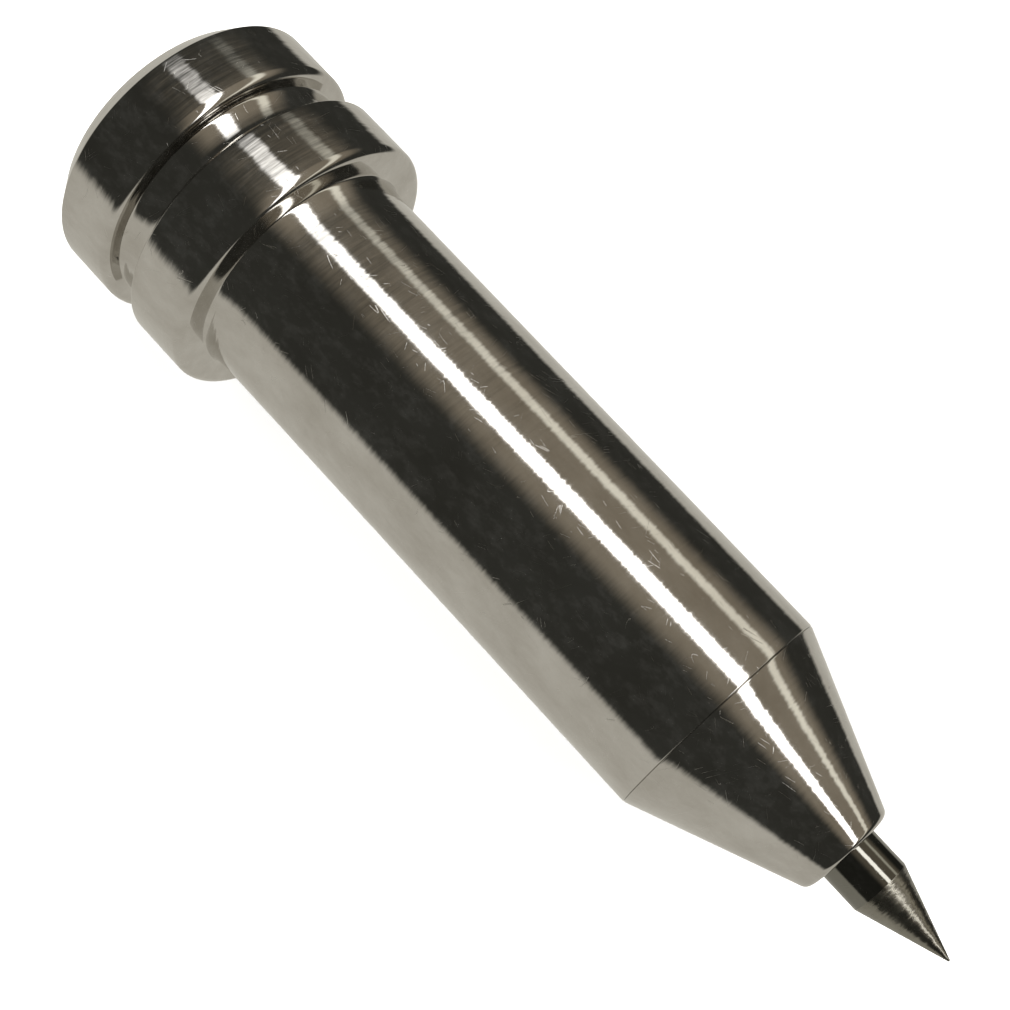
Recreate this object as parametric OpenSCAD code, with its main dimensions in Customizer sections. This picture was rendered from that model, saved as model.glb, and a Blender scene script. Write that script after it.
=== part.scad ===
// Spring-loaded scriber with a turned holder, a screwed nose and a carbide point.
// The tool's axis lies along X with the point towards +X, and X = 0 is the collar's seat face.

/* [Holder] */
// Diameter of the plain shank
shank_d = 11.5; // [11:0.1:12.5]
// Length of the plain shank, from the seat face to the nose joint
shank_l = 28.6; // [27:0.1:34]
// Diameter of the two head collars
collar_d = 14.8; // [14.2:0.1:17]
// Width of the front collar
collar_w = 3.45; // [3:0.05:4.5]
// Width of the clamping groove between the collars
groove_w = 1.85; // [1.6:0.05:2.4]
// Diameter of the groove's floor
groove_d = 12.7; // [12.4:0.1:12.9]
// Width of the rear collar
rear_w = 4.15; // [3.5:0.05:4.5]
// Leg of the 45 degree chamfer on the rear edge
rear_chamfer = 1.0; // [0.2:0.05:1.2]

/* [Nose] */
// Length of the tapered nose
nose_l = 8.25; // [7.5:0.05:10]
// Diameter of the nose at its open end, before its edge is rounded
nose_tip_d = 4.8; // [4.6:0.1:5.2]
// Radius of the rounded edge at the open end
nose_edge_r = 0.43; // [0.2:0.01:0.5]

/* [Point] */
// Diameter of the carbide pin
pin_d = 3.0; // [2.9:0.1:3.2]
// Straight length of pin that stands out of the nose
pin_out = 2.05; // [2.0:0.05:3]
// Length of the ground cone
point_l = 4.3; // [3:0.1:6]
// Diameter of the flat left on the ground point
point_flat_d = 0.1; // [0.06:0.02:0.2]

/* [Spring] */
// Wire diameter
wire_d = 0.6; // [0.4:0.05:0.7]
// Mean diameter of the coils
coil_d = 5.4; // [5:0.1:6]
// Active coils, not counting one closed coil at each end
active_coils = 7; // [5:1:9]
// How far the point can be pushed back
travel = 2.0; // [1:0.1:2]

/* [Thread] */
// Nose thread, major diameter
thread_d = 9.0; // [8.8:0.1:9.2]
// Nose thread, pitch
thread_pitch = 0.75; // [0.75:0.25:1]

/* [Hidden] */
$fn = 96;

// Fits
running = 0.03;      // radial clearance of a running fit
stop_gap = 0.03;     // between the holder's flange and the nose when the point is out
thread_gap = 0.05;   // radial clearance between the two halves of the thread
eps = 0.01;

// Edge radii and fillets of the holder
collar_r_front = 0.45;
collar_r_back = 0.15;
rear_r_front = 0.45;
seat_fillet = 0.25;
groove_depth = (collar_d - groove_d) / 2;
groove_fillet_back = min(0.3, groove_depth - rear_r_front);
groove_fillet_front = min(0.8, groove_depth - collar_r_back);

// Axial stations, all measured from the seat face along +X
x_groove_front = -collar_w;
x_groove_back = x_groove_front - groove_w;
x_head_end = x_groove_back - rear_w;
x_joint = shank_l;
x_nose_end = x_joint + nose_l;
x_cone = x_nose_end + pin_out;
x_tip = x_cone + point_l;

// Nose thread and seal
thread_depth = 0.4;
thread_l = 6.0;
seal_d = 0.86;
seal_seat_l = 1.1;
seal_seat_r = 4.8;
seal_groove_r = 3.9;
x_spigot_back = x_joint - 8.1;
x_thread_front = x_joint - seal_seat_l - 0.3;
x_thread_back = x_thread_front - thread_l;
x_relief_back = x_thread_back - 0.8;

// Holder for the pin
flange_r = 3.6;
flange_l = 3.0;
sleeve_r = 2.2;
stem_r = 1.5;
x_flange_front = x_spigot_back - stop_gap;
x_flange_back = x_flange_front - flange_l;
x_sleeve_front = x_joint - 0.6;
x_pin_back = x_flange_back + 0.5;
x_stem_back = -1.0;
washer_t = 0.5;

// Bores of the barrel
chamber_r = 3.8;
x_chamber_back = 2.0;
bush_seat_r = 2.5;
bush_l = 3.6;
x_bush_back = x_chamber_back - bush_l;
stem_well_r = 1.8;
x_well_back = x_stem_back - travel - 0.1;
bush_flange_r = 3.4;
bush_flange_t = 0.9;

// Bores of the nose
sleeve_bore_r = sleeve_r + 0.1;
x_bush_seat = x_joint + 1.4;
nose_bush_l = 4.5;
x_wiper_seat = x_bush_seat + nose_bush_l;
wiper_seat_l = 0.7;
wiper_seat_r = 2.15;
nose_exit_r = pin_d / 2 + 0.06;
wiper_d = 0.56;

// Grub screws and dowel in the holder's flange
grub_r = 1.0;
grub_count = 2;
grub_angle = 120;
dowel_r = 0.4;
dowel_pcr = 2.95;
dowel_l = 6.4;

// Spring
x_spring_back = x_chamber_back + bush_flange_t;
x_spring_front = x_flange_back - washer_t;
spring_turns = active_coils + 2;

// Turns a profile drawn as [radius, X] into a solid about the X axis.
module turned() {
    rotate([0, 90, 0]) rotate_extrude() children();
}

// A rectangle in a profile, from station a to station b and from the axis out to r.
module bar(r, a, b) {
    translate([0, a]) square([r, b - a]);
}

// What a rounded outer edge of radius q takes away at [r, x]; dir is +1 when the metal lies on the -X side.
module edge_waste(r, x, q, dir) {
    translate([r - q, x - dir * q]) difference() {
        translate([0, dir > 0 ? 0 : -q - eps]) square([q + eps, q + eps]);
        circle(r = q);
    }
}

// The metal that a fillet of radius q adds in an inner corner at [r, x]; dir is +1 when it lies on the +X side.
module fillet(r, x, q, dir) {
    difference() {
        translate([r - eps, dir > 0 ? x - eps : x - q]) square([q + eps, q + eps]);
        translate([r + q, x + dir * q]) circle(r = q);
    }
}

// One full set of thread rings as a profile, from the axis out to the given crest radius.
module thread_profile(crest_r, a, b) {
    rings = floor((b - a) / thread_pitch);
    bar(crest_r - thread_depth, a, b);
    for (i = [0 : rings - 1])
        translate([0, a + i * thread_pitch]) polygon([
            [crest_r - thread_depth - eps, 0.05 * thread_pitch],
            [crest_r, 0.42 * thread_pitch],
            [crest_r, 0.58 * thread_pitch],
            [crest_r - thread_depth - eps, 0.95 * thread_pitch]]);
}

module barrel_outline() {
    difference() {
        union() {
            bar(shank_d / 2, x_groove_front, x_joint);
            bar(collar_d / 2, x_groove_front, 0);
            bar(groove_d / 2, x_groove_back - eps, x_groove_front + eps);
            bar(collar_d / 2, x_head_end, x_groove_back);
        }
        edge_waste(collar_d / 2, 0, collar_r_front, 1);
        edge_waste(collar_d / 2, x_groove_front, collar_r_back, -1);
        edge_waste(collar_d / 2, x_groove_back, rear_r_front, 1);
        translate([collar_d / 2, x_head_end]) rotate(45)
            square(rear_chamfer * sqrt(2), center = true);
    }
    fillet(shank_d / 2, 0, seat_fillet, 1);
    fillet(groove_d / 2, x_groove_back, groove_fillet_back, 1);
    fillet(groove_d / 2, x_groove_front, groove_fillet_front, -1);
}

module barrel() {
    color("silver") turned() difference() {
        barrel_outline();
        bar(stem_well_r, x_well_back, x_bush_back + eps);
        bar(bush_seat_r, x_bush_back, x_chamber_back + eps);
        bar(chamber_r, x_chamber_back, x_relief_back + eps);
        bar(thread_d / 2, x_relief_back, x_thread_back + eps);
        thread_profile(thread_d / 2, x_thread_back, x_thread_front);
        bar(seal_seat_r, x_thread_front - eps, x_joint + eps);
        // drill point at the bottom of the well, and the lathe centre in the head
        polygon([[0, x_well_back - stem_well_r * tan(31)], [stem_well_r, x_well_back + eps],
                 [0, x_well_back + eps]]);
        polygon([[0, x_head_end - eps], [1.0, x_head_end - eps], [0, x_head_end + 1.0 * tan(60)]]);
    }
}

module nose_outline() {
    half_angle = atan((shank_d - nose_tip_d) / 2 / nose_l);
    run = nose_edge_r * tan((90 - half_angle) / 2);
    edge_x = x_nose_end - run * cos(half_angle) - nose_edge_r * sin(half_angle);
    edge_r = nose_tip_d / 2 + run * sin(half_angle) - nose_edge_r * cos(half_angle);
    polygon([[0, x_joint], [shank_d / 2, x_joint],
             [edge_r + nose_edge_r * cos(half_angle), edge_x + nose_edge_r * sin(half_angle)],
             [edge_r, edge_x], [edge_r, x_nose_end], [0, x_nose_end]]);
    translate([edge_r, edge_x]) circle(r = nose_edge_r);
}

module nose_cone() {
    color("gainsboro") difference() {
        turned() difference() {
            union() {
                nose_outline();
                bar(seal_groove_r, x_thread_front, x_joint + eps);
                thread_profile(thread_d / 2 - thread_gap, x_thread_back, x_thread_front);
                bar(thread_d / 2 - thread_depth - thread_gap, x_spigot_back, x_thread_back + eps);
            }
            bar(sleeve_bore_r, x_spigot_back - eps, x_wiper_seat);
            bar(wiper_seat_r, x_wiper_seat - eps, x_wiper_seat + wiper_seat_l);
            bar(nose_exit_r, x_wiper_seat, x_nose_end + eps);
        }
        translate([x_spigot_back - eps, 0, dowel_pcr]) rotate([0, 90, 0])
            cylinder(r = dowel_r, h = dowel_l - flange_l + 2 * eps + 0.1);
    }
}

module nose_seal() {
    color("black") turned()
        translate([(seal_seat_r + seal_groove_r) / 2, x_joint - seal_seat_l / 2]) circle(d = seal_d, $fn = 48);
}

module nose_bush() {
    color("goldenrod") turned() translate([pin_d / 2 + running, x_bush_seat])
        square([sleeve_bore_r - pin_d / 2 - running, nose_bush_l]);
}

module pin_wiper() {
    color("black") turned()
        translate([pin_d / 2 + wiper_d / 2 + running, x_wiper_seat + wiper_seat_l / 2]) circle(d = wiper_d, $fn = 48);
}

module scribing_pin() {
    back_chamfer = 0.3;
    color("dimgray") turned() polygon([
        [0, x_pin_back], [pin_d / 2 - back_chamfer, x_pin_back],
        [pin_d / 2, x_pin_back + back_chamfer], [pin_d / 2, x_cone],
        [point_flat_d / 2, x_tip], [0, x_tip]]);
}

module grub_places() {
    for (i = [0 : grub_count - 1])
        translate([(x_flange_front + x_flange_back) / 2, 0, 0])
            rotate([grub_angle * (i + 1), 0, 0]) children();
}

module pin_holder() {
    pin_bore_r = pin_d / 2 + eps;
    color("slategray") difference() {
        turned() difference() {
            union() {
                bar(stem_r, x_stem_back, x_flange_back + eps);
                bar(flange_r, x_flange_back, x_flange_front);
                bar(sleeve_r, x_flange_front - eps, x_sleeve_front);
            }
            bar(pin_bore_r, x_pin_back, x_sleeve_front + eps);
            edge_waste(stem_r, x_stem_back, 0.3, -1);
            edge_waste(flange_r, x_flange_back, 0.25, -1);
        }
        grub_places() cylinder(r = grub_r, h = flange_r + 1);
        translate([x_flange_back - eps, 0, dowel_pcr]) rotate([0, 90, 0])
            cylinder(r = dowel_r + running, h = flange_l + 2 * eps);
    }
}

module pin_grub_screws() {
    socket_af = 0.9;
    socket_depth = 0.9;
    top = flange_r - 0.12;
    bottom = pin_d / 2 + eps;
    color("dimgray") grub_places() difference() {
        translate([0, 0, bottom]) cylinder(r = grub_r - eps, h = top - bottom);
        translate([0, 0, top - socket_depth])
            cylinder(d = socket_af / cos(30), h = socket_depth + eps, $fn = 6);
    }
}

module thrust_washer() {
    color("lightsteelblue") turned() translate([stem_r + 0.1, x_spring_front])
        square([flange_r - 0.2 - stem_r, washer_t]);
}

// Axial place of the wire's centre after t turns: a closed coil at each end and even coils between.
function coil_x(t) = let (
    closed = wire_d * 1.02,
    a = x_spring_back + wire_d / 2,
    b = x_spring_front - wire_d / 2,
    pitch = (b - a - 2 * closed) / active_coils)
    t < 1 ? a + closed * t
    : t > spring_turns - 1 ? b - closed * (spring_turns - t)
    : a + closed + pitch * (t - 1);

module return_spring() {
    steps_per_turn = 14;
    sides = 8;
    steps = spring_turns * steps_per_turn;
    points = [for (i = [0 : steps]) let (t = i / steps_per_turn, a = 360 * t, x = coil_x(t))
        for (k = [0 : sides - 1]) let (
            b = 360 * k / sides,
            r = coil_d / 2 + wire_d / 2 * cos(b))
            [x + wire_d / 2 * sin(b), r * cos(a), r * sin(a)]];
    walls = [for (i = [0 : steps - 1]) for (k = [0 : sides - 1]) let (n = (k + 1) % sides)
        each [[i * sides + k, i * sides + n, (i + 1) * sides + n],
              [i * sides + k, (i + 1) * sides + n, (i + 1) * sides + k]]];
    caps = [[for (k = [sides - 1 : -1 : 0]) k], [for (k = [0 : sides - 1]) steps * sides + k]];
    color("lightgray") polyhedron(points = points, faces = concat(walls, caps));
}

module stem_bush() {
    color("goldenrod") turned() difference() {
        union() {
            bar(bush_seat_r, x_bush_back, x_chamber_back + eps);
            bar(bush_flange_r, x_chamber_back, x_chamber_back + bush_flange_t);
        }
        bar(stem_r + running, x_bush_back - eps, x_spring_back + eps);
    }
}

module anti_turn_dowel() {
    color("gray") translate([x_flange_back + 0.1, 0, dowel_pcr]) rotate([0, 90, 0])
        cylinder(r = dowel_r, h = dowel_l, $fn = 48);
}

barrel();
nose_cone();
nose_seal();
nose_bush();
pin_wiper();
scribing_pin();
pin_holder();
pin_grub_screws();
thrust_washer();
return_spring();
stem_bush();
anti_turn_dowel();
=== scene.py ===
"""Looks of the spring-loaded scriber: turned, polished holder and nose, ground carbide point."""

import math

import bpy
from mathutils import Matrix, Vector


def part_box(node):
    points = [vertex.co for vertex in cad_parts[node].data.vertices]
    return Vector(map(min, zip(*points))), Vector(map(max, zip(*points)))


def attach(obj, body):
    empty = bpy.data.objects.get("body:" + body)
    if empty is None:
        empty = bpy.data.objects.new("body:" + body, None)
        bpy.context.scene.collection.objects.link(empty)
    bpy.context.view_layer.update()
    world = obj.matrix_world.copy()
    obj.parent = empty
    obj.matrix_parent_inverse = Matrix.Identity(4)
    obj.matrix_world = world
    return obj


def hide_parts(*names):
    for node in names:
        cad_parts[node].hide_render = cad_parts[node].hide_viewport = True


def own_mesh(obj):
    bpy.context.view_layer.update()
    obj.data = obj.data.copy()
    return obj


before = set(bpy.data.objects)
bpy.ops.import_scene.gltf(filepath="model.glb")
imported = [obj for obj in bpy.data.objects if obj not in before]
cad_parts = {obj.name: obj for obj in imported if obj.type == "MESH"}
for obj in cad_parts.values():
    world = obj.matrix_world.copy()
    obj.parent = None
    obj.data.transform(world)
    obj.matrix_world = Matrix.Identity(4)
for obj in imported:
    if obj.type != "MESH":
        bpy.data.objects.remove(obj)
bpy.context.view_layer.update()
MM = 0.001

# ---------------------------------------------------------------- where things are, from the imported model
barrel_low, barrel_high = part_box("barrel")
nose_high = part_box("nose_cone")[1]
pin_low, pin_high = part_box("scribing_pin")
spring_low, spring_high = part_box("return_spring")

HEAD_END = barrel_low.x
JOINT = barrel_high.x
NOSE_END = nose_high.x
TIP = pin_high.x
COLLAR_R = barrel_high.z
SHANK_R = nose_high.z
PIN_R = pin_high.z

# ---------------------------------------------------------------- turned profiles
SEGMENTS = 288
SHARP_DEG = 17


def arc_corner(before, corner, after, radius, steps):
    """Points of an arc of that radius that rounds a profile's corner."""
    a, c, b = Vector(before), Vector(corner), Vector(after)
    u, v = (a - c).normalized(), (b - c).normalized()
    half = u.angle(v) / 2
    if radius <= 0 or half > math.radians(89.5):
        return [tuple(c)]
    run = min(radius / math.tan(half), (a - c).length, (b - c).length)
    radius = run * math.tan(half)
    centre = c + (u + v).normalized() * (radius / math.sin(half))
    start, end = c + u * run - centre, c + v * run - centre
    turn = start.angle_signed(end)
    points = []
    for i in range(steps + 1):
        angle = -turn * i / steps
        points.append(tuple(centre + Matrix.Rotation(angle, 2) @ start))
    return points


def rounded(corners, steps=10):
    """A profile of (x, r, rounding radius) corners, with each corner rounded."""
    points = []
    last = len(corners) - 1
    for i, (x, r, radius) in enumerate(corners):
        if i in (0, last) or radius <= 0:
            points.append((x, r))
            continue
        before, after = corners[i - 1][:2], corners[i + 1][:2]
        points += arc_corner(before, (x, r), after, radius, steps)
    return points


def swept_corner(x, r, along, up, steps=14):
    """The inner points of a polished-out inner corner at (x, r): a quarter of an ellipse."""
    out = []
    for i in range(1, steps):
        turn = math.pi / 2 * i / steps
        out.append((x + along * (1 - math.cos(turn)), r + up * (1 - math.sin(turn))))
    return out


def spread(points, longest):
    """The same profile with long straight stretches divided."""
    out = [points[0]]
    for (x0, r0), (x1, r1) in zip(points, points[1:]):
        n = max(1, math.ceil(math.hypot(x1 - x0, r1 - r0) / longest))
        out += [(x0 + (x1 - x0) * i / n, r0 + (r1 - r0) * i / n) for i in range(1, n + 1)]
    return out


def lathe(name, profile, body, node, material, closed=False, beyond=None):
    """A solid of revolution about X for one CAD node; beyond is (x, material) for its far end."""
    points = spread(profile, 0.8 * MM)
    verts, rings = [], []
    for x, r in points:
        if r < 1e-7:
            rings.append([len(verts)])
            verts.append((x, 0, 0))
            continue
        rings.append(list(range(len(verts), len(verts) + SEGMENTS)))
        for k in range(SEGMENTS):
            angle = 2 * math.pi * k / SEGMENTS
            verts.append((x, r * math.sin(angle), r * math.cos(angle)))
    pairs = list(zip(rings, rings[1:]))
    if closed:
        pairs.append((rings[-1], rings[0]))
    faces = []
    for near, far in pairs:
        if len(near) == 1 and len(far) == 1:
            continue
        for k in range(SEGMENTS):
            n = (k + 1) % SEGMENTS
            if len(near) == 1:
                faces.append((near[0], far[k], far[n]))
            elif len(far) == 1:
                faces.append((near[k], far[0], near[n]))
            else:
                faces.append((near[k], far[k], far[n], near[n]))
    mesh = bpy.data.meshes.new(name)
    mesh.from_pydata(verts, [], faces)
    mesh.materials.append(material)
    if beyond is not None:
        mesh.materials.append(beyond[1])
        for polygon in mesh.polygons:
            polygon.material_index = int(polygon.center.x > beyond[0])
    mesh.polygons.foreach_set("use_smooth", [True] * len(mesh.polygons))
    mesh.set_sharp_from_angle(angle=math.radians(SHARP_DEG))
    mesh.update()
    piece = bpy.data.objects.new(name, mesh)
    bpy.context.scene.collection.objects.link(piece)
    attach(piece, body)
    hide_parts(node)
    return piece


# ---------------------------------------------------------------- node helpers
def new_material(name):
    material = bpy.data.materials.new(name)
    material.use_nodes = True
    tree = material.node_tree
    return material, tree, tree.nodes["Principled BSDF"]


def add(tree, kind, **settings):
    node = tree.nodes.new(kind)
    for key, value in settings.items():
        setattr(node, key, value)
    return node


def math_node(tree, operation, a, b=None, clamp=False):
    node = add(tree, "ShaderNodeMath", operation=operation, use_clamp=clamp)
    for socket, value in zip(node.inputs, (a, b)):
        if value is None:
            continue
        if isinstance(value, (int, float)):
            socket.default_value = value
        else:
            tree.links.new(value, socket)
    return node.outputs[0]


def ramp(tree, factor, stops):
    """A colour ramp; a stop is (position, grey) or (position, (r, g, b))."""
    node = add(tree, "ShaderNodeValToRGB")
    elements = node.color_ramp.elements
    while len(elements) < len(stops):
        elements.new(0.5)
    for element, (position, colour) in zip(elements, stops):
        element.position = position
    for element, (position, colour) in zip(elements, stops):
        rgb = (colour,) * 3 if isinstance(colour, (int, float)) else colour
        element.color = (*rgb, 1)
    tree.links.new(factor, node.inputs["Fac"])
    return node.outputs["Color"]


def stretched_noise(tree, scale, detail=3, seed=0.0, roughness=0.55):
    """Noise on the object's own coordinates, with its own scale along each axis, per metre."""
    coordinates = add(tree, "ShaderNodeTexCoord")
    mapping = add(tree, "ShaderNodeMapping")
    mapping.inputs["Scale"].default_value = scale
    mapping.inputs["Location"].default_value = (seed, seed * 1.7, seed * 0.6)
    tree.links.new(coordinates.outputs["Object"], mapping.inputs["Vector"])
    noise = add(tree, "ShaderNodeTexNoise")
    noise.inputs["Scale"].default_value = 1
    noise.inputs["Detail"].default_value = detail
    noise.inputs["Roughness"].default_value = roughness
    tree.links.new(mapping.outputs["Vector"], noise.inputs["Vector"])
    return noise.outputs["Fac"]


def bump(tree, height, distance, normal=None):
    node = add(tree, "ShaderNodeBump")
    node.inputs["Strength"].default_value = 1.0
    node.inputs["Distance"].default_value = distance
    tree.links.new(height, node.inputs["Height"])
    if normal is not None:
        tree.links.new(normal, node.inputs["Normal"])
    return node.outputs["Normal"]


def hairlines(tree, scale, rotation, width, seed):
    """Thin scratches: the level lines of a noise that is stretched along a turned direction."""
    coordinates = add(tree, "ShaderNodeTexCoord")
    turn = add(tree, "ShaderNodeMapping", vector_type="POINT")
    turn.inputs["Rotation"].default_value = rotation
    tree.links.new(coordinates.outputs["Object"], turn.inputs["Vector"])
    stretch = add(tree, "ShaderNodeMapping", vector_type="POINT")
    stretch.inputs["Scale"].default_value = scale
    stretch.inputs["Location"].default_value = (seed, seed * 2.3, seed * 0.4)
    tree.links.new(turn.outputs["Vector"], stretch.inputs["Vector"])
    noise = add(tree, "ShaderNodeTexNoise")
    noise.inputs["Scale"].default_value = 1
    noise.inputs["Detail"].default_value = 0
    tree.links.new(stretch.outputs["Vector"], noise.inputs["Vector"])
    off = math_node(tree, "ABSOLUTE", math_node(tree, "SUBTRACT", noise.outputs["Fac"], 0.5))
    return math_node(tree, "SUBTRACT", 1.0, math_node(tree, "DIVIDE", off, width, clamp=True))


def turning_marks(tree, tilt_round, tilt_along, rings_per_m, seed, drift=260):
    """The surface normal of a turned face: each fine ring leans a little round the axis and along it."""
    geometry = add(tree, "ShaderNodeNewGeometry")
    tangent = add(tree, "ShaderNodeVectorMath", operation="CROSS_PRODUCT")
    tangent.inputs[0].default_value = (1, 0, 0)
    tree.links.new(geometry.outputs["Normal"], tangent.inputs[1])
    lean_round = stretched_noise(tree, (rings_per_m, drift, drift), detail=3, seed=seed, roughness=0.8)
    lean_round = math_node(tree, "MULTIPLY", math_node(tree, "SUBTRACT", lean_round, 0.5), 2 * tilt_round)
    lean_along = stretched_noise(tree, (rings_per_m, drift, drift), detail=3, seed=seed + 31, roughness=0.8)
    lean_along = math_node(tree, "MULTIPLY", math_node(tree, "SUBTRACT", lean_along, 0.5), 2 * tilt_along)
    sideways = add(tree, "ShaderNodeVectorMath", operation="SCALE")
    tree.links.new(tangent.outputs["Vector"], sideways.inputs[0])
    tree.links.new(lean_round, sideways.inputs["Scale"])
    endways = add(tree, "ShaderNodeCombineXYZ")
    tree.links.new(lean_along, endways.inputs["X"])
    total = geometry.outputs["Normal"]
    for part in (sideways.outputs["Vector"], endways.outputs["Vector"]):
        summed = add(tree, "ShaderNodeVectorMath", operation="ADD")
        tree.links.new(total, summed.inputs[0])
        tree.links.new(part, summed.inputs[1])
        total = summed.outputs["Vector"]
    unit = add(tree, "ShaderNodeVectorMath", operation="NORMALIZE")
    tree.links.new(total, unit.inputs[0])
    return unit.outputs["Vector"]


def polished_metal(name, light, dark, roughness, tilt_round, tilt_along, rings_per_m, scratch_depth, seed,
                   drift=260):
    """Turned and polished metal: fine rings round the axis, patchy polish and hairline scratches."""
    material, tree, shader = new_material(name)
    smears = stretched_noise(tree, (900, 1500, 1500), detail=5, seed=seed + 61, roughness=0.75)
    tree.links.new(ramp(tree, smears, [(0.48, 1.0), (0.80, 0.982)]), shader.inputs["Metallic"])
    patches = stretched_noise(tree, (260, 420, 420), detail=5, seed=seed + 7, roughness=0.65)
    scratches = None
    for i, (rotation, scale) in enumerate(SCRATCH_WAYS):
        lines = hairlines(tree, scale, rotation, SCRATCH_WIDTH, seed + 11 * i)
        where = stretched_noise(tree, (1300, 1300, 1300), detail=0, seed=seed + 23 + 5 * i)
        lines = math_node(tree, "MULTIPLY", lines, math_node(tree, "GREATER_THAN", where, SCRATCH_SPARSENESS))
        scratches = lines if scratches is None else math_node(tree, "MAXIMUM", scratches, lines)

    colour = ramp(tree, patches, [(0.32, dark), (0.68, light)])
    tree.links.new(colour, shader.inputs["Base Color"])
    rough = ramp(tree, patches, [(0.3, roughness * 0.75), (0.7, roughness * 1.3)])
    tree.links.new(math_node(tree, "ADD", rough, math_node(tree, "MULTIPLY", scratches, SCRATCH_ROUGHNESS)),
                   shader.inputs["Roughness"])
    normal = turning_marks(tree, tilt_round, tilt_along, rings_per_m, seed, drift)
    waves = stretched_noise(tree, (900, 900, 900), detail=3, seed=seed + 3)
    normal = bump(tree, waves, WAVE_HEIGHT, normal=normal)
    normal = bump(tree, scratches, -scratch_depth, normal=normal)
    tree.links.new(normal, shader.inputs["Normal"])
    return material


# each scratch direction: how the pattern is turned, and its stretch along each axis per metre
SCRATCH_WAYS = [
    ((0.0, 0.0, 0.5), (2200, 130, 130)),
    ((0.0, 0.4, -0.7), (2200, 160, 160)),
    ((0.3, 0.0, 1.2), (2600, 130, 200)),
    ((0.9, 0.2, 0.1), (200, 2400, 200)),
]
SCRATCH_WIDTH = 0.006
SCRATCH_SPARSENESS = 0.70
SCRATCH_ROUGHNESS = 0.25
WAVE_HEIGHT = 2.0e-6
BRIGHT = (0.62, 0.605, 0.575)
DULL = (0.50, 0.48, 0.445)
HOLDER = polished_metal("holder_polished", BRIGHT, DULL, 0.075, 0.027, 0.090, 5500, 1.1e-6, 1.0)
NOSE = polished_metal("nose_polished", BRIGHT, DULL, 0.075, 0.030, 0.060, 5500, 1.1e-6, 41.0)
CARBIDE = polished_metal(
    "carbide_polished", (0.23, 0.225, 0.20), (0.19, 0.185, 0.165), 0.08, 0.02, 0.03, 9000, 0.5e-6, 77.0)
CARBIDE_GROUND = polished_metal(
    "carbide_ground", (0.36, 0.345, 0.30), (0.20, 0.19, 0.16), 0.28, 0.30, 0.36, 9000, 1.5e-6, 91.0, 1500)

# ---------------------------------------------------------------- the barrel
SEAT = 0.0
GROOVE_FRONT = -3.45 * MM
GROOVE_BACK = -5.30 * MM
GROOVE_R = 6.35 * MM
CENTRE_R = 1.0 * MM
CENTRE_DEPTH = 1.73 * MM
REAR_CHAMFER = 1.0 * MM
FINE_EDGE_R = 0.12 * MM
POLISHED_EDGE_R = 0.45 * MM
JOINT_EDGE_R = 0.06 * MM
# the polished-out inner corners: how far each reaches along the axis, and up the wall
GROOVE_SWEEP_BACK = (1.05 * MM, 0.25 * MM)
GROOVE_SWEEP_FRONT = (0.8 * MM, 0.75 * MM)
SEAT_SWEEP = (1.3 * MM, 0.22 * MM)
# the steps inside the barrel, from the joint to the back
RECESS_START, RECESS_R = 27.2 * MM, 4.8 * MM
THREAD_START, THREAD_R = 21.2 * MM, 4.1 * MM
RELIEF_START, RELIEF_R = 20.4 * MM, 4.5 * MM
WELL_START, WELL_R = 2.0 * MM, 3.8 * MM
BUSH_SEAT_START, BUSH_SEAT_R = -1.6 * MM, 2.5 * MM
STEM_WELL_START, STEM_WELL_R = -3.1 * MM, 1.8 * MM
STEM_WELL_TIP = -4.18 * MM

rear_collar = rounded([
    (HEAD_END + CENTRE_DEPTH, 0, 0),
    (HEAD_END, CENTRE_R, 0.03 * MM),
    (HEAD_END, COLLAR_R - REAR_CHAMFER, 0.08 * MM),
    (HEAD_END + REAR_CHAMFER, COLLAR_R, FINE_EDGE_R),
    (GROOVE_BACK, COLLAR_R, POLISHED_EDGE_R),
    (GROOVE_BACK, GROOVE_R + GROOVE_SWEEP_BACK[1], 0),
])
front_collar = rounded([
    (GROOVE_FRONT, GROOVE_R + GROOVE_SWEEP_FRONT[1], 0),
    (GROOVE_FRONT, COLLAR_R, FINE_EDGE_R),
    (SEAT, COLLAR_R, POLISHED_EDGE_R),
    (SEAT, SHANK_R + SEAT_SWEEP[1], 0),
])
groove = (
    swept_corner(GROOVE_BACK, GROOVE_R, *GROOVE_SWEEP_BACK)
    + [(GROOVE_BACK + GROOVE_SWEEP_BACK[0], GROOVE_R)]
    + swept_corner(GROOVE_FRONT, GROOVE_R, -GROOVE_SWEEP_FRONT[0], GROOVE_SWEEP_FRONT[1])[::-1])
shank = swept_corner(SEAT, SHANK_R, *SEAT_SWEEP) + rounded([
    (SEAT + SEAT_SWEEP[0], SHANK_R, 0),
    (JOINT, SHANK_R, JOINT_EDGE_R),
    (JOINT, RECESS_R, 0),
])
barrel_inside = [
    (RECESS_START, RECESS_R), (RECESS_START, THREAD_R),
    (THREAD_START, THREAD_R), (THREAD_START, RELIEF_R),
    (RELIEF_START, RELIEF_R), (RELIEF_START, WELL_R),
    (WELL_START, WELL_R), (WELL_START, BUSH_SEAT_R),
    (BUSH_SEAT_START, BUSH_SEAT_R), (BUSH_SEAT_START, STEM_WELL_R),
    (STEM_WELL_START, STEM_WELL_R), (STEM_WELL_TIP, 0)]
lathe(
    "barrel_turned", rear_collar + groove + front_collar + shank + barrel_inside,
    "holder", "barrel", HOLDER)

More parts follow.
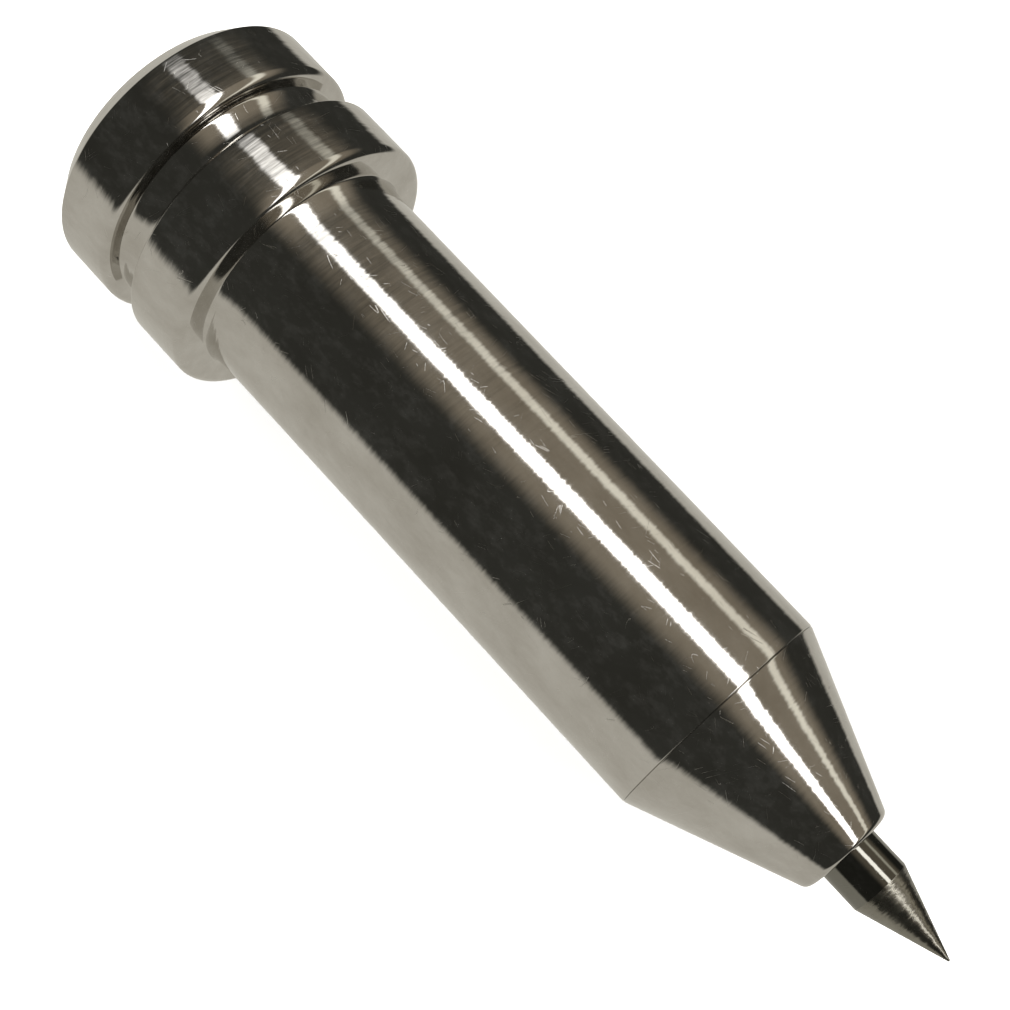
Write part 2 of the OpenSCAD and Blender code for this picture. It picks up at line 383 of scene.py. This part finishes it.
# ---------------------------------------------------------------- the nose
NOSE_TIP_R = 2.4 * MM
NOSE_LIP_R = 0.43 * MM
MOUTH_R = 1.56 * MM
WIPER_SEAT_START, WIPER_SEAT_R = 35.2 * MM, 2.15 * MM
BORE_END, BORE_R = 34.5 * MM, 2.3 * MM
SPIGOT_START, SPIGOT_R = 20.5 * MM, 4.05 * MM
NECK_R = 3.9 * MM
nose_outside = rounded([
    (JOINT, NECK_R, 0),
    (JOINT, SHANK_R, JOINT_EDGE_R),
    (NOSE_END, NOSE_TIP_R, NOSE_LIP_R),
    (NOSE_END, MOUTH_R, 0.03 * MM),
    (WIPER_SEAT_START, MOUTH_R, 0),
])
nose_inside = [
    (WIPER_SEAT_START, WIPER_SEAT_R), (BORE_END, WIPER_SEAT_R),
    (BORE_END, BORE_R), (SPIGOT_START, BORE_R),
    (SPIGOT_START, SPIGOT_R), (RECESS_START, SPIGOT_R), (RECESS_START, NECK_R)]
lathe("nose_turned", nose_outside + nose_inside, "holder", "nose_cone", NOSE, closed=True)

# ---------------------------------------------------------------- the point
POINT_START = 38.9 * MM
PIN_CHAMFER = 0.3 * MM
TIP_FLAT_R = 0.05 * MM
pin_profile = rounded([
    (pin_low.x, 0, 0),
    (pin_low.x, PIN_R - PIN_CHAMFER, 0),
    (pin_low.x + PIN_CHAMFER, PIN_R, 0),
    (POINT_START, PIN_R, 0.02 * MM),
    (TIP, TIP_FLAT_R, 0),
    (TIP, 0, 0),
])
lathe("point_ground", pin_profile, "plunger", "scribing_pin", CARBIDE,
      beyond=(POINT_START + 0.01 * MM, CARBIDE_GROUND))

# ---------------------------------------------------------------- inside the holder
def plain_metal(name, colour, roughness, seed):
    """Turned inner parts: one colour with soft patches and fine turning rings."""
    material, tree, shader = new_material(name)
    shader.inputs["Metallic"].default_value = 1.0
    shader.inputs["Roughness"].default_value = roughness
    patches = stretched_noise(tree, (500, 500, 500), detail=3, seed=seed)
    darker = tuple(0.8 * c for c in colour)
    tree.links.new(ramp(tree, patches, [(0.3, darker), (0.7, colour)]), shader.inputs["Base Color"])
    rings = stretched_noise(tree, (7000, 500, 500), detail=2, seed=seed + 5)
    tree.links.new(bump(tree, rings, 1e-6), shader.inputs["Normal"])
    return material


def soft_rubber(name, seed):
    material, tree, shader = new_material(name)
    shader.inputs["Roughness"].default_value = 0.6
    patches = stretched_noise(tree, (900, 900, 900), detail=3, seed=seed)
    tree.links.new(ramp(tree, patches, [(0.3, 0.018), (0.7, 0.035)]), shader.inputs["Base Color"])
    tree.links.new(bump(tree, patches, 4e-6), shader.inputs["Normal"])
    return material


STEEL = plain_metal("turned_steel", (0.56, 0.57, 0.58), 0.28, 5.0)
SPRING_WIRE = plain_metal("spring_wire", (0.52, 0.52, 0.52), 0.30, 9.0)
BLACK_STEEL = plain_metal("blackened_steel", (0.09, 0.09, 0.10), 0.40, 13.0)
BRONZE = plain_metal("reamed_bronze", (0.70, 0.47, 0.24), 0.25, 15.0)
RUBBER = soft_rubber("seal_rubber_black", 19.0)
INNER = {
    "pin_holder": STEEL, "thrust_washer": STEEL, "anti_turn_dowel": STEEL, "pin_grub_screws": BLACK_STEEL,
    "nose_bush": BRONZE, "stem_bush": BRONZE, "nose_seal": RUBBER, "pin_wiper": RUBBER}
for node_name, material in INNER.items():
    for material_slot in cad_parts[node_name].material_slots:
        material_slot.material = material


def coil_spring(name, back_x, front_x, wire_r, coil_r, active_coils, material):
    """A round-wire compression spring with one closed coil at each end."""
    steps_per_turn, sides = 48, 16
    turns = active_coils + 2
    closed = 2.04 * wire_r
    low, high = back_x + wire_r, front_x - wire_r
    pitch = (high - low - 2 * closed) / active_coils
    verts = []
    count = turns * steps_per_turn
    for i in range(count + 1):
        turn = i / steps_per_turn
        if turn < 1:
            x = low + closed * turn
        elif turn > turns - 1:
            x = high - closed * (turns - turn)
        else:
            x = low + closed + pitch * (turn - 1)
        angle = 2 * math.pi * turn
        for k in range(sides):
            around = 2 * math.pi * k / sides
            r = coil_r + wire_r * math.cos(around)
            verts.append((x + wire_r * math.sin(around), r * math.cos(angle), r * math.sin(angle)))
    faces = []
    for i in range(count):
        for k in range(sides):
            n = (k + 1) % sides
            faces.append((i * sides + k, i * sides + n, (i + 1) * sides + n, (i + 1) * sides + k))
    faces.append(tuple(reversed(range(sides))))
    faces.append(tuple(range(count * sides, (count + 1) * sides)))
    mesh = bpy.data.meshes.new(name)
    mesh.from_pydata(verts, [], faces)
    mesh.materials.append(material)
    mesh.polygons.foreach_set("use_smooth", [True] * len(mesh.polygons))
    mesh.set_sharp_from_angle(angle=math.radians(50))
    piece = bpy.data.objects.new(name, mesh)
    bpy.context.scene.collection.objects.link(piece)
    return piece


WIRE_R = 0.3 * MM
COIL_R = 2.7 * MM
ACTIVE_COILS = 7
spring = coil_spring(
    "spring_coils", spring_low.x, spring_high.x, WIRE_R, COIL_R, ACTIVE_COILS, SPRING_WIRE)
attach(spring, "holder")
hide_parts("return_spring")
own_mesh(spring)

# ---------------------------------------------------------------- floor
FLOOR_Z = -COLLAR_R
FLOOR_SIZE = 2.0
bpy.ops.mesh.primitive_plane_add(size=FLOOR_SIZE, location=(0, 0, FLOOR_Z))
floor = bpy.context.object
floor.name = "floor"
floor.visible_glossy = False
floor_material, _, floor_shader = new_material("pale_floor")
floor_shader.inputs["Base Color"].default_value = (0.9, 0.9, 0.89, 1)
floor_shader.inputs["Roughness"].default_value = 0.9
floor_shader.inputs["Specular IOR Level"].default_value = 0.0
floor.data.materials.append(floor_material)


# ---------------------------------------------------------------- studio
# A plain two-tone room, pale below and to one side, with three long soft lamps that lie along the tool.
ROOM_PALE = (0.60, 0.58, 0.52)
ROOM_DARK = (0.04, 0.04, 0.035)
ROOM_TILT = math.radians(30)
ROOM_EDGE = (0.10, 0.25)
# each lamp: colour, radiance, then where it is round the tool from straight up, half its width and its soft
# edge, in degrees
STRIP_LAMPS = [
    ((1.0, 1.0, 1.0), 4.0, 35, 5, 3),
    ((1.0, 1.0, 0.9), 0.8, 73, 2, 5),
    ((1.0, 0.85, 0.65), 0.25, 50, 30, 20)]
# the lamps fade out past this far behind the tool and past this far ahead of it
LAMPS_BEHIND = (-0.60, -0.20)
LAMPS_AHEAD = (0.90, 0.98)

world = bpy.data.worlds.new("studio")
world.use_nodes = True
bpy.context.scene.world = world
wt = world.node_tree
wt.nodes.clear()
coordinates = add(wt, "ShaderNodeTexCoord")
xyz = add(wt, "ShaderNodeSeparateXYZ")
wt.links.new(coordinates.outputs["Generated"], xyz.inputs[0])


def fade(tree, value, start, end):
    """0 below start, 1 past end, and smooth between them."""
    node = add(tree, "ShaderNodeMapRange", interpolation_type="SMOOTHSTEP")
    tree.links.new(value, node.inputs["Value"])
    node.inputs["From Min"].default_value = start
    node.inputs["From Max"].default_value = end
    return node.outputs["Result"]


def soft_band(tree, value, centre, half_width, edge):
    """1 in a band round the centre, with soft edges."""
    off = math_node(tree, "ABSOLUTE", math_node(tree, "SUBTRACT", value, centre))
    return math_node(tree, "SUBTRACT", 1.0, fade(tree, off, half_width, half_width + edge))


sideways = math_node(wt, "MULTIPLY", xyz.outputs["Y"], -math.sin(ROOM_TILT))
downwards = math_node(wt, "MULTIPLY", xyz.outputs["Z"], -math.cos(ROOM_TILT))
pale = fade(wt, math_node(wt, "ADD", sideways, downwards), *ROOM_EDGE)
room_light = add(wt, "ShaderNodeBackground")
wt.links.new(ramp(wt, pale, [(0, ROOM_DARK), (1, ROOM_PALE)]), room_light.inputs["Color"])

around = math_node(wt, "ARCTAN2", xyz.outputs["Y"], xyz.outputs["Z"])
degrees = math_node(wt, "MULTIPLY", around, 180 / math.pi)
beside = math_node(
    wt, "MULTIPLY", fade(wt, xyz.outputs["X"], *LAMPS_BEHIND),
    math_node(wt, "SUBTRACT", 1.0, fade(wt, xyz.outputs["X"], *LAMPS_AHEAD)))
everything = room_light.outputs[0]
for colour, radiance, centre, half_width, edge in STRIP_LAMPS:
    lamp = add(wt, "ShaderNodeBackground")
    lamp.inputs["Color"].default_value = (*colour, 1)
    shape = math_node(wt, "MULTIPLY", soft_band(wt, degrees, centre, half_width, edge), beside)
    wt.links.new(math_node(wt, "MULTIPLY", shape, radiance), lamp.inputs["Strength"])
    both = add(wt, "ShaderNodeAddShader")
    wt.links.new(everything, both.inputs[0])
    wt.links.new(lamp.outputs[0], both.inputs[1])
    everything = both.outputs[0]
# what the camera sees past the floor's edge is a plain pale backdrop
backdrop = add(wt, "ShaderNodeBackground")
backdrop.inputs["Color"].default_value = (0.95, 0.95, 0.94, 1)
path = add(wt, "ShaderNodeLightPath")
seen = add(wt, "ShaderNodeMixShader")
wt.links.new(path.outputs["Is Camera Ray"], seen.inputs["Fac"])
wt.links.new(everything, seen.inputs[1])
wt.links.new(backdrop.outputs[0], seen.inputs[2])
output = add(wt, "ShaderNodeOutputWorld")
wt.links.new(seen.outputs[0], output.inputs["Surface"])


LAMP_AIM = Vector((0.015, 0, 0))


def soft_lamp(name, place, size, power):
    """A big soft lamp for the floor; the world alone is mirrored in the metal."""
    data = bpy.data.lights.new(name, "AREA")
    data.shape = "SQUARE"
    data.size = size
    data.energy = power
    lamp = bpy.data.objects.new(name, data)
    lamp.location = place
    lamp.rotation_euler = (LAMP_AIM - Vector(place)).to_track_quat("-Z", "Y").to_euler()
    lamp.visible_glossy = False
    bpy.context.scene.collection.objects.link(lamp)


SOFT_LAMP_SIZE = 0.5
SOFT_LAMP_POWER = 5.0
soft_lamp("soft_left", (-0.15, -0.30, 0.45), SOFT_LAMP_SIZE, SOFT_LAMP_POWER)
soft_lamp("soft_right", (0.20, 0.35, 0.45), SOFT_LAMP_SIZE, SOFT_LAMP_POWER)

# ---------------------------------------------------------------- camera
# The viewpoint is close, 12 shank radii above the tool, and tilted towards the point at the lower right.
VIEW_DISTANCE = 11.862 * SHANK_R
VIEW_TILT = 0.154
VIEW_TURN = 3.9616
AIM_FROM_TIP = 4.010 * SHANK_R
AIM_SIDE = -0.2156 * SHANK_R
tilt_cos, tilt_sin = math.cos(VIEW_TILT), math.sin(VIEW_TILT)
toward_head = Vector((-tilt_cos, 0, tilt_sin))
back = Vector((tilt_sin, 0, tilt_cos))
side = Vector((0, 1, 0))
right = math.cos(VIEW_TURN) * toward_head - math.sin(VIEW_TURN) * side
up = -(math.sin(VIEW_TURN) * toward_head + math.cos(VIEW_TURN) * side)
aim = Vector((TIP, 0, 0)) + AIM_FROM_TIP * toward_head + AIM_SIDE * side
place = aim + VIEW_DISTANCE * back
camera_data = bpy.data.cameras.new("camera")
camera_data.sensor_width = 36
camera_data.lens = 56.03
camera_data.shift_x = -0.0603
camera_data.shift_y = 0.0861
camera_data.clip_start = 0.005
camera = bpy.data.objects.new("camera", camera_data)
bpy.context.scene.collection.objects.link(camera)
camera.matrix_world = Matrix((
    (right.x, up.x, back.x, place.x),
    (right.y, up.y, back.y, place.y),
    (right.z, up.z, back.z, place.z),
    (0, 0, 0, 1)))
bpy.context.scene.camera = camera
bpy.context.scene.view_settings.view_transform = "Standard"
